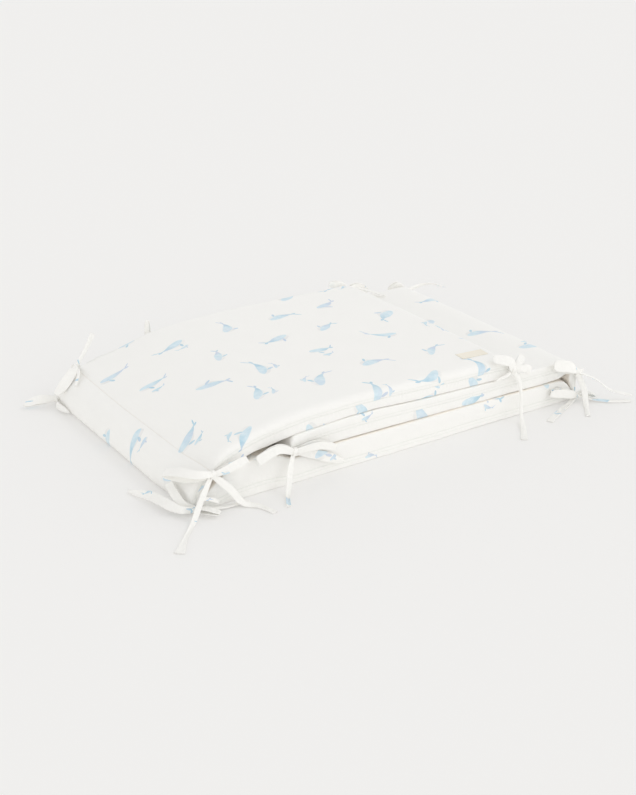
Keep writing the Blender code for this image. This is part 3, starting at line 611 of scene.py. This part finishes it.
def bow_strand(knot, side, number, seed, kind, look_first, look_last, route, widths, open_by=0):
    """One strand of a bow, as points, faces and fabric coordinates."""
    outward = -1 if side == "front" else 1
    edge = 0 if side == "front" else HEIGHT
    look_first, look_last = (np.array(look) * (1, outward, 1) for look in (look_first, look_last))
    middle = smooth_curve([knot, *((x, edge + outward * out, z) for x, out, z in route)], ROUTE_STEPS)
    share = lengths(middle)
    length = share[-1]
    share = share / length
    blend = (share**2 * (3 - 2 * share))[:, None]
    look = (1 - blend) * look_first + blend * look_last
    heading = np.gradient(middle, axis=0)
    across = np.cross(heading, look)
    normal = np.cross(across, heading)
    normal /= np.linalg.norm(normal, axis=1)[:, None]

    def at(shares, values):
        return np.stack([np.interp(shares, share, values[:, k]) for k in range(3)], axis=1)

    def width_at(shares):
        marks = np.linspace(0, 1, len(widths))
        soft = smooth_curve(np.stack([marks, widths], axis=1), 12)
        return np.interp(shares, soft[:, 0], soft[:, 1])

    start = 3.1 + 0.37 * seed + 0.113 * number
    tag = seed * 4 + number
    if kind == "tail":
        shares = np.linspace(0, 1, max(int(length / TAIL_STEP), TAIL_LEAST))
        path = at(shares, middle)
        wave = noise(shares * length, seed * 31.0 + number * 7.0, 13, 11)
        path = path + at(shares, normal) * (wave * 0.6 * smooth_step(shares, 0.05, 0.3))[:, None]
        width = width_at(shares) * (1 + 0.06 * noise(shares * length, seed * 17.0 + number * 3.0, 8, 12))
        # A narrow stretch is folded, and stands up more.
        folded = FOLDED_UNDER - np.minimum(width, FOLDED_UNDER)
        cup = (0.35 + 0.22 * folded) * (1 if number % 2 else -1)
        cup = cup * (0.4 + 0.6 * smooth_step(length * (1 - shares), 0, 8))
        cup += 0.3 * noise(shares * length, seed * 5.0 + number * 11.0, 15, 13)
        thick = RIBBON_THICK * (1 + 0.1 * folded)
        return ribbon_tube(path, at(shares, look), width, cup, thick, start, 0.02 * seed, tag)
    # A loop goes out on one side of that line and back on the other.
    out = 1 - (1 - np.linspace(0, 1, LOOP_HALF)) ** 1.6
    shares = np.concatenate([out[:-1], [1], out[-2:0:-1]])
    sides = np.concatenate([np.ones(LOOP_HALF - 1), [0], -np.ones(LOOP_HALF - 2)])
    sides[0] = 0.6
    tip = np.sqrt(np.clip(1 - ((shares * length - (length - LOOP_TIP)) / LOOP_TIP).clip(0, 1) ** 2, 0, 1))
    opening = open_by / 2 * (LOOP_START + (1 - LOOP_START) * np.sin(math.pi * shares**0.85)) * tip
    opening = opening * (1 + 0.22 * noise(shares * length, seed * 13.0 + number * 5.0 + sides, 12, 14))
    opening = np.maximum(opening, LOOP_LEAST * tip)
    path = at(shares, middle) + at(shares, normal) * (opening * sides)[:, None]
    round_trip = np.roll(path, -1, axis=0) - np.roll(path, 1, axis=0)
    broad = np.cross(at(shares, across), round_trip)
    width = width_at(shares) * (1 + 0.05 * noise(shares * length + 9 * sides, seed * 7.0 + number, 8, 15))
    width *= 1 - 0.2 * np.exp(-((length * (1 - shares) / 2.0) ** 2))
    cup = 0.6 * (1 - smooth_step(shares * length, 3, 16))
    cup = cup + 0.3 * noise(shares * length, seed + sides, 11, 16)
    thick = np.full(len(shares), RIBBON_THICK)
    return ribbon_tube(path, broad, width, cup, thick, start, 0.0237 * seed + 0.2895, tag, closed=True)


def knot_parts(knot, seed):
    """The knot: a soft lump with a turn of the strip pulled round it."""
    rng = np.random.default_rng(300 + seed)
    ball = bmesh.new()
    bmesh.ops.create_icosphere(ball, subdivisions=4, radius=0.5)
    unit = np.array([tuple(vertex.co) for vertex in ball.verts])
    ball_faces = [tuple(corner.index for corner in face.verts) for face in ball.faces]
    ball.free()
    folds = 0.06 * np.sin(unit[:, 1] * 22 + unit[:, 2] * 9 + seed)
    folds += 0.05 * np.sin(unit[:, 2] * 26 - unit[:, 1] * 6 + 2.2 * seed)
    pinch = 1 - 0.1 * np.exp(-((unit[:, 0] / 0.16) ** 2))
    lump = unit * (1 + folds * 2 * np.abs(unit[:, 0:1]).reshape(-1))[:, None]
    lump[:, 1:] *= pinch[:, None]
    ball_uv = [(0.4 + 0.01 * x, 0.4 + 0.01 * y) for face in ball_faces for x, y in unit[list(face), :2]]
    parts = [(knot + lump * KNOT, ball_faces, ball_uv)]
    tilt = rng.uniform(-0.5, 0.5)
    for turn, (wide, lift) in enumerate(KNOT_TURNS):
        angle = np.linspace(0, 2 * math.pi, TURN_POINTS, endpoint=False)
        lean = tilt + 0.5 * turn
        y = np.cos(angle) * KNOT[1] / 2 * lift
        z = np.sin(angle) * KNOT[2] / 2 * lift
        x = z * math.tan(lean) * 0.35
        path = knot + np.stack([x, y, z], axis=1)
        broad = np.stack([np.zeros(TURN_POINTS), y, z], axis=1)
        width = wide * (1 + 0.12 * np.sin(3 * angle + seed))
        cup = np.full(TURN_POINTS, -0.3)
        thick = np.full(TURN_POINTS, RIBBON_THICK)
        place = 5.0 + seed * 0.21, 0.6
        parts.append(ribbon_tube(path, broad, width, cup, thick, *place, seed + turn, closed=True))
        # Every other knot has only one turn.
        if turn == 0 and seed % 2:
            break
    return parts


def build_bow(name, seed):
    station, shift, strands = BOWS[name]
    side = name.split("_")[-1]
    outward = -1 if side == "front" else 1
    knot = sewn_point(station, side) + (0, outward * (KNOT[1] / 2 + CLEARANCE), 0) + shift
    parts = knot_parts(knot, seed)
    cut = KNOT_TAKES
    for number, row in enumerate(strands):
        parts.append(bow_strand(knot, side, number, seed, *row))
        rings = parts[-1][0].reshape(-1, 2 * len(RIBBON_SLOTS), 3)
        cut += lengths(rings.mean(axis=1))[-1]
    points, faces, uv = [], [], []
    for part_points, part_faces, part_uv in parts:
        base = len(points)
        points.extend(part_points)
        faces.extend(tuple(base + corner for corner in face) for face in part_faces)
        uv.extend(part_uv)
    return mesh_object(name.replace("tie_", "bow_"), to_frame(points), faces, uv), round(cut * MM, 2)


def build_label(top):
    """The small woven label, blank, which follows the top face."""
    turn = math.radians(LABEL["turn"])
    columns, rows = LABEL_COLUMNS, LABEL_ROWS
    edge_fall, edge_reach = LABEL_EDGE
    stitch_fall, stitch_at, stitch_reach = LABEL_STITCH
    order = np.argsort(top[:, top.shape[1] // 8, 0])
    ring_x = top[:, :, 0].mean(axis=1)[order]
    faces, points = [], []
    for level in (LABEL["under"], LABEL["thick"]):
        for j in range(rows):
            for i in range(columns):
                a, b = i / (columns - 1), j / (rows - 1)
                u, v = (a - 0.5) * LABEL["length"], (b - 0.5) * LABEL["width"]
                x = LABEL["x"] + u * math.cos(turn) - v * math.sin(turn)
                y = LABEL["y"] + u * math.sin(turn) + v * math.cos(turn)
                k = np.searchsorted(ring_x, x)
                share = (x - ring_x[k - 1]) / (ring_x[k] - ring_x[k - 1])
                z = [np.interp(y, top[order[n], :, 1], top[order[n], :, 2]) for n in (k - 1, k)]
                lift = level
                if level == LABEL["thick"]:
                    rim = min(a, 1 - a) * LABEL["length"], min(b, 1 - b) * LABEL["width"]
                    lift -= edge_fall * math.exp(-((min(rim) / edge_reach) ** 2))
                    # The two short ends are stitched down.
                    lift -= stitch_fall * math.exp(-(((rim[0] - stitch_at) / stitch_reach) ** 2))
                points.append((x, y, z[0] * (1 - share) + z[1] * share + lift))
    step = columns * rows
    for j in range(rows - 1):
        for i in range(columns - 1):
            a = j * columns + i
            quad = (a, a + columns, a + columns + 1, a + 1)
            faces.append(quad)
            faces.append(tuple(corner + step for corner in reversed(quad)))
    grid = np.arange(step).reshape(rows, columns)
    rim = [*grid[0], *grid[1:, -1], *grid[-1, -2::-1], *grid[-2:0:-1, 0]]
    for a, b in zip(rim, rim[1:] + rim[:1]):
        faces.append((a, b, b + step, a + step))
    pitch_u, pitch_v = LABEL["length"] * MM / (columns - 1), LABEL["width"] * MM / (rows - 1)
    flat = [(p % step % columns * pitch_u, p % step // columns * pitch_v) for face in faces for p in face]
    return mesh_object("woven_label", to_frame(points), faces, flat)


# ---------------- materials, with sizes in metres
CLOTH = (0.937, 0.929, 0.899, 1)
TIE_CLOTH = (0.945, 0.935, 0.90, 1)
# painted shade: the warm brown given to the cloth that lies deep between the layers
PAINTED_GAP_SHADE = (0.945, 0.865, 0.765, 1)
# the long edges' seam thread, made darker to paint the shade in the seam's groove
EDGE_THREAD_AND_SHADE = (0.50, 0.60, 0.47, 1)
SEAM_THREAD = (0.60, 0.47, 0.34, 1)
LABEL_LOW, LABEL_HIGH = (0.90, 0.845, 0.725, 1), (0.93, 0.885, 0.785, 1)
LABEL_THREAD = (0.80, 0.72, 0.56, 1)
INK_DEEP = (0.455, 0.66, 0.775, 1)
INK_PALE = (0.73, 0.85, 0.905, 1)
INK_GREY = (0.75, 0.755, 0.75, 1)
INK_LILAC = (0.625, 0.68, 0.81, 1)
REPEAT = (0.089, 0.070)  # how far the whales lie apart, along and across the cloth
WANDER = (0.024, 0.014)  # how far one may lie from its place
TURN, TURN_SPREAD = 0.4, 1.7  # which way they swim, in radians
WHALE_LEAST, WHALE_SPREAD = 0.0158, 0.004
YOUNG_SIZE, YOUNG_AT = 0.0078, (-0.004, -0.0165)
THREAD, LABEL_WEAVE = 0.0008, 0.0007  # pitches of the two weaves
EDGE_STITCHES = 0.0042  # distance of the stitched line from the long edge
STITCH_PITCH, PUCKER_PITCH = 0.0031, 0.0062
PUCKER_REACH = 0.011


class Field:
    """A number that varies over a surface: a socket of a node tree, with arithmetic."""

    def __init__(self, tree, socket):
        self.tree = tree
        self.socket = socket

    def math(self, kind, *others, clamp=False):
        node = self.tree.nodes.new("ShaderNodeMath")
        node.operation = kind
        node.use_clamp = clamp
        for socket, value in zip(node.inputs, (self, *others)):
            feed(self.tree, socket, value)
        return Field(self.tree, node.outputs[0])

    def __add__(self, other):
        return self.math("ADD", other)

    def __sub__(self, other):
        return self.math("SUBTRACT", other)

    def __rsub__(self, other):
        return self.math("MULTIPLY", -1.0).math("ADD", other)

    def __mul__(self, other):
        return self.math("MULTIPLY", other)

    def __truediv__(self, other):
        return self.math("DIVIDE", other)

    def step(self, low, high):
        """From 0 at low to 1 at high, smoothly."""
        node = self.tree.nodes.new("ShaderNodeMapRange")
        node.interpolation_type = "SMOOTHSTEP"
        for name, value in (("Value", self), ("From Min", low), ("From Max", high)):
            feed(self.tree, node.inputs[name], value)
        return Field(self.tree, node.outputs["Result"])


def feed(tree, socket, value):
    """Gives a node's input a plain value, or joins it to a field or to another node's output."""
    if isinstance(value, Field):
        value = value.socket
    if isinstance(value, bpy.types.NodeSocket):
        tree.links.new(value, socket)
    else:
        socket.default_value = value


def set_inputs(node, values):
    for name, value in values.items():
        node.inputs[name].default_value = value


def new_material(name, roughness, sheen):
    made = bpy.data.materials.new(name)
    made.use_nodes = True
    tree = made.node_tree
    shader = tree.nodes["Principled BSDF"]
    set_inputs(shader, {"Roughness": roughness, "Sheen Weight": sheen})
    set_inputs(shader, {"Sheen Roughness": 0.5, "Specular IOR Level": 0.25})
    return made, tree, shader


def dress(tree, shader, colour, height):
    """Gives a material its colour, and its finest relief as bump."""
    tree.links.new(colour, shader.inputs["Base Color"])
    bump = tree.nodes.new("ShaderNodeBump")
    set_inputs(bump, {"Distance": 1.0, "Strength": 1.0})
    tree.links.new(height.socket, bump.inputs["Height"])
    tree.links.new(bump.outputs[0], shader.inputs["Normal"])


def split_vector(tree, vector):
    node = tree.nodes.new("ShaderNodeSeparateXYZ")
    tree.links.new(vector, node.inputs[0])
    return [Field(tree, socket) for socket in node.outputs]


def vector_of(tree, x, y, z=0.0):
    node = tree.nodes.new("ShaderNodeCombineXYZ")
    for socket, value in zip(node.inputs, (x, y, z)):
        feed(tree, socket, value)
    return node.outputs[0]


def fabric_place(tree):
    """The two coordinates of a point of the cloth, along and across it, and both as one socket."""
    node = tree.nodes.new("ShaderNodeUVMap")
    node.uv_map = "fabric"
    u, v, _ = split_vector(tree, node.outputs["UV"])
    return u, v, node.outputs["UV"]


def noise_field(tree, place, scale, detail=2.0):
    node = tree.nodes.new("ShaderNodeTexNoise")
    set_inputs(node, {"Scale": scale, "Detail": detail})
    tree.links.new(place, node.inputs["Vector"])
    return Field(tree, node.outputs["Fac"])


def random_of(tree, x, y, seed):
    """Three steady random numbers for a pair of whole numbers."""
    node = tree.nodes.new("ShaderNodeTexWhiteNoise")
    node.noise_dimensions = "3D"
    tree.links.new(vector_of(tree, x, y, seed), node.inputs["Vector"])
    split = tree.nodes.new("ShaderNodeSeparateColor")
    tree.links.new(node.outputs["Color"], split.inputs[0])
    return [Field(tree, split.outputs[k]) for k in range(3)]


def attribute(tree, name):
    node = tree.nodes.new("ShaderNodeAttribute")
    node.attribute_name = name
    return Field(tree, node.outputs["Fac"])


def turned(x, y, degrees):
    """Coordinates along and across a direction."""
    c, s = math.cos(math.radians(degrees)), math.sin(math.radians(degrees))
    return x * c + y * s, y * c - x * s


def oval(x, y, length, width, soft):
    """1 inside an oval about the origin, and 0 outside."""
    r = (x / length).math("POWER", 2.0) + (y / width).math("POWER", 2.0)
    return r.step(1 + soft, 1 - soft)


def whale(x, y, stout, curl):
    """A plain whale about two units long that swims towards +x: its ink, pale belly and darker parts."""
    back = (0.35 - x).math("MAXIMUM", 0.0)
    y = y - back * back * curl
    profile = (1 - x * x).math("MAXIMUM", 0.0).math("POWER", 0.38)
    half = profile * (x.step(-1.12, 0.12) * 0.89 + 0.11) * stout
    body = (y.math("ABSOLUTE") - half).step(0.03, -0.03) * x.math("ABSOLUTE").step(1.0, 0.98)
    left = oval(*turned(x + 1.08, y - 0.13, 128), 0.24, 0.085, 0.25)
    right = oval(*turned(x + 1.04, y + 0.13, -140), 0.22, 0.08, 0.25)
    fin = oval(*turned(x - 0.12, y + stout * 0.95, 52), 0.3, 0.09, 0.25)
    flukes = left.math("MAXIMUM", right)
    belly = (y + half * 0.5 - x * 0.1).step(0.03, -0.03) * body
    ink = (body - belly).math("MAXIMUM", flukes).math("MAXIMUM", fin)
    dark = flukes.math("MAXIMUM", fin).math("MAXIMUM", x.step(0.1, -0.7))
    return ink, belly, dark


def print_of(tree, u, v):
    """The printed whales: the ink's strength at a place, their pale bellies and their darker parts."""
    wide, high = REPEAT
    row = (v / high).math("FLOOR")
    shifted = u / wide + row.math("MODULO", 2.0) * 0.5 + row * 0.13
    column = shifted.math("FLOOR")
    first, second, third = (random_of(tree, column, row, seed) for seed in (3.0, 8.0, 12.0))
    x = (shifted - column - 0.5) * wide + (first[0] - 0.5) * WANDER[0]
    y = (v / high - row - 0.5) * high + (first[1] - 0.5) * WANDER[1]
    node = tree.nodes.new("ShaderNodeVectorRotate")
    node.rotation_type = "Z_AXIS"
    tree.links.new(vector_of(tree, x, y), node.inputs["Vector"])
    feed(tree, node.inputs["Angle"], (first[2] - 0.5) * TURN_SPREAD + TURN)
    x, y, _ = split_vector(tree, node.outputs[0])
    x = x * (third[0].math("GREATER_THAN", 0.45) * 2.0 - 1.0)
    y = y * (third[1].math("GREATER_THAN", 0.5) * 2.0 - 1.0)
    size = second[1] * WHALE_SPREAD + WHALE_LEAST
    big = whale(x / size, y / size, second[2] * 0.17 + 0.38, third[2] * 0.5 + 0.12)
    # About two in five have a young one beside it.
    young = second[0].math("GREATER_THAN", 0.6)
    small = whale((x - YOUNG_AT[0]) / YOUNG_SIZE, (y - YOUNG_AT[1]) / YOUNG_SIZE, 0.42, 0.4)
    # Fewer of them lie along the long edges.
    kept = (third[0] * 7.0).math("FRACT").math("GREATER_THAN", 0.42)
    kept = kept.math("MAXIMUM", (row + 0.5).math("ABSOLUTE").math("LESS_THAN", 2.0))
    return [a.math("MAXIMUM", b * young) * kept for a, b in zip(big, small)]


def mixed(tree, share, first, second):
    node = tree.nodes.new("ShaderNodeMix")
    node.data_type = "RGBA"
    feed(tree, node.inputs["Factor"], share)
    for name, value in (("A", first), ("B", second)):
        feed(tree, next(s for s in node.inputs if s.name == name and s.type == "RGBA"), value)
    return next(s for s in node.outputs if s.type == "RGBA")


def weave(u, v, pitch):
    """Heights of a plain weave: threads that pass over and under each other."""
    across = (u * (2 * math.pi / pitch)).math("SINE")
    along = (v * (2 * math.pi / pitch)).math("SINE")
    return across * along


def add_seams(tree, place, colour, height):
    """The padded strip's stitches and puckers, and painted warm shade on the cloth between its layers."""
    u, v, uv = place
    edge = attribute(tree, "from_edge")
    near = edge.math("ABSOLUTE")
    inside = attribute(tree, "inside").step(0.0008, 0.0026)
    line = near.step(0.0012, 0.0003)
    second = (edge - EDGE_STITCHES).math("ABSOLUTE").step(0.0009, 0.0002)
    stitches = (v * (2 * math.pi / STITCH_PITCH)).math("SINE").step(-0.2, 0.4)
    sewn = attribute(tree, "from_seam").step(0.0008, 0.0003) * (stitches * 0.4 + 0.6)
    # Painted shade: the inner face turns a darker warm brown the deeper it lies between the layers.
    colour = mixed(tree, inside * 0.6, colour, PAINTED_GAP_SHADE)
    # Greenish lines at each long edge and at the stitched line beside it: the thread's colour, and painted
    # shade of the seam's groove.
    colour = mixed(tree, (line * 0.11).math("MAXIMUM", second * 0.10), colour, EDGE_THREAD_AND_SHADE)
    colour = mixed(tree, sewn * 0.22, colour, SEAM_THREAD)
    wander = noise_field(tree, uv, 70, 1.0)
    puckers = (u * (2 * math.pi / PUCKER_PITCH) + wander * 9.0).math("SINE")
    height = height + puckers * (near / -PUCKER_REACH).math("EXPONENT") * 0.00006
    return colour, height - line * 0.0002 - second * 0.00012 - sewn * 0.00025


def printed_cotton(name, cloth, with_seams):
    made, tree, shader = new_material(name, 0.88, 0.18)
    u, v, uv = fabric_place(tree)
    ink, belly, darker = print_of(tree, u, v)
    wash = noise_field(tree, uv, 160, 3.0)
    blot = noise_field(tree, uv, 60, 1.0)
    pale = ((wash - 0.5) * 1.3 + 0.75 - darker * 0.65).math("MULTIPLY", 1.0, clamp=True)
    ink_colour = mixed(tree, pale, INK_DEEP, INK_PALE)
    patch = noise_field(tree, uv, 38, 1.0)
    ink_colour = mixed(tree, patch.step(0.47, 0.62) * (darker * 0.6 + 0.25), ink_colour, INK_LILAC)
    strength = ink * ((blot - 0.5) * 0.6 + 0.92)
    mottle = noise_field(tree, uv, 22, 2.0)
    ground = mixed(tree, (mottle - 0.3) * 0.25, cloth, tuple(0.93 * c for c in cloth[:3]) + (1,))
    ground = mixed(tree, belly * ((blot - 0.5) * 1.2 + 0.34), ground, INK_GREY)
    colour = mixed(tree, strength.math("MULTIPLY", 1.0, clamp=True), ground, ink_colour)
    height = weave(u, v, THREAD) * 0.00003 + noise_field(tree, uv, 420, 2.0) * 0.00012
    if with_seams:
        colour, height = add_seams(tree, (u, v, uv), colour, height)
    dress(tree, shader, colour, height)
    return made


def label_cloth():
    made, tree, shader = new_material("woven_label_cloth", 0.62, 0.05)
    u, v, uv = fabric_place(tree)
    grain = noise_field(tree, uv, 300, 2.0)
    colour = mixed(tree, grain, LABEL_LOW, LABEL_HIGH)
    # A line of stitches crosses each short end.
    half = LABEL["length"] / 2 * MM
    from_end = half - (u - half).math("ABSOLUTE")
    line = (from_end - LABEL_STITCH[1] * MM).math("ABSOLUTE").step(0.0006, 0.0002)
    stitch = line * (v * 2600.0).math("SINE").step(-0.3, 0.4)
    colour = mixed(tree, stitch * 0.5, colour, LABEL_THREAD)
    dress(tree, shader, colour, weave(u, v, LABEL_WEAVE) * 0.00004 + grain * 0.00005)
    return made


# ---------------- the object

cotton = printed_cotton("printed_cotton_cloth", CLOTH, True)
tie_cloth = printed_cotton("tie_cotton_cloth", TIE_CLOTH, False)
label_material = label_cloth()

pad, top_face, ring_places, ring_bounds = build_pad()
pad.data.materials.append(cotton)
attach(pad, "root")
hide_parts("bumper")

top_rings = top_face[ring_places < ring_bounds[1]]
label = build_label(top_rings)
label.data.materials.append(label_material)
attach(label, "root")
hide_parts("label")

for seed, name in enumerate(BOWS):
    bow, cut_length = build_bow(name, seed)
    bow.data.materials.append(tie_cloth)
    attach(bow, "root")
    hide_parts(name)

# ---------------- floor, light and camera, in metres
FLOOR_SIZE, FLOOR_DROP = 30, 0.0002
FLOOR_COLOUR = (0.71, 0.704, 0.692, 1)
FLOOR_GLOW, FLOOR_GLOW_STRENGTH = (1.0, 0.99, 0.975, 1), 0.2
ROOM_LIGHT, LOW_LIGHT = 0.768, 0.68  # what comes from all round, and what is added low down
FRONT_SHARE = 0.35  # how much more of that the front has
CAMERA_PLACE = (-0.95226, -1.43611, 0.7692)
CAMERA_DOWN, CAMERA_TURN = 23.881, -33.558
LENS, SENSOR = 63.396, 36  # in millimetres

bpy.ops.mesh.primitive_plane_add(size=FLOOR_SIZE, location=(0, 0, -FLOOR_DROP))
floor = bpy.context.object
floor.name = "floor"
floor_material, _, shader = new_material("floor_paint", 0.95, 0.0)
set_inputs(shader, {"Base Color": FLOOR_COLOUR, "Specular IOR Level": 0.0})
set_inputs(shader, {"Emission Color": FLOOR_GLOW, "Emission Strength": FLOOR_GLOW_STRENGTH})
floor.data.materials.append(floor_material)

world = bpy.data.worlds.new("studio")
bpy.context.scene.world = world
world.use_nodes = True
sky = world.node_tree
east, north, up = split_vector(sky, sky.nodes.new("ShaderNodeTexCoord").outputs["Generated"])
# The room is brightest low down, and at the front.
low = (1 - up.math("MAXIMUM", 0.0)).math("POWER", 2.0)
glow = low * ((east * 0.2 - north * 0.75) * FRONT_SHARE + 1) * LOW_LIGHT + ROOM_LIGHT
set_inputs(sky.nodes["Background"], {"Color": (1.0, 1.0, 1.0, 1)})
sky.links.new(glow.socket, sky.nodes["Background"].inputs["Strength"])


def add_sun(name, strength, azimuth, elevation, softness):
    """A soft distant light. An azimuth of 0 is from the front, and 90 from the right."""
    light = bpy.data.lights.new(name, "SUN")
    light.energy = strength
    light.angle = math.radians(softness)
    made = bpy.data.objects.new(name, light)
    bpy.context.scene.collection.objects.link(made)
    made.rotation_euler = (math.radians(90 - elevation), 0, math.radians(azimuth))


add_sun("key", strength=0.28, azimuth=52, elevation=50, softness=18)

camera_data = bpy.data.cameras.new("camera")
camera = bpy.data.objects.new("camera", camera_data)
bpy.context.scene.collection.objects.link(camera)
camera_data.sensor_fit = "VERTICAL"
camera_data.sensor_height = SENSOR
camera_data.lens = LENS
camera.location = CAMERA_PLACE
camera.rotation_euler = (math.radians(90 - CAMERA_DOWN), 0, math.radians(CAMERA_TURN))
bpy.context.scene.camera = camera
bpy.context.scene.view_settings.view_transform = "Standard"
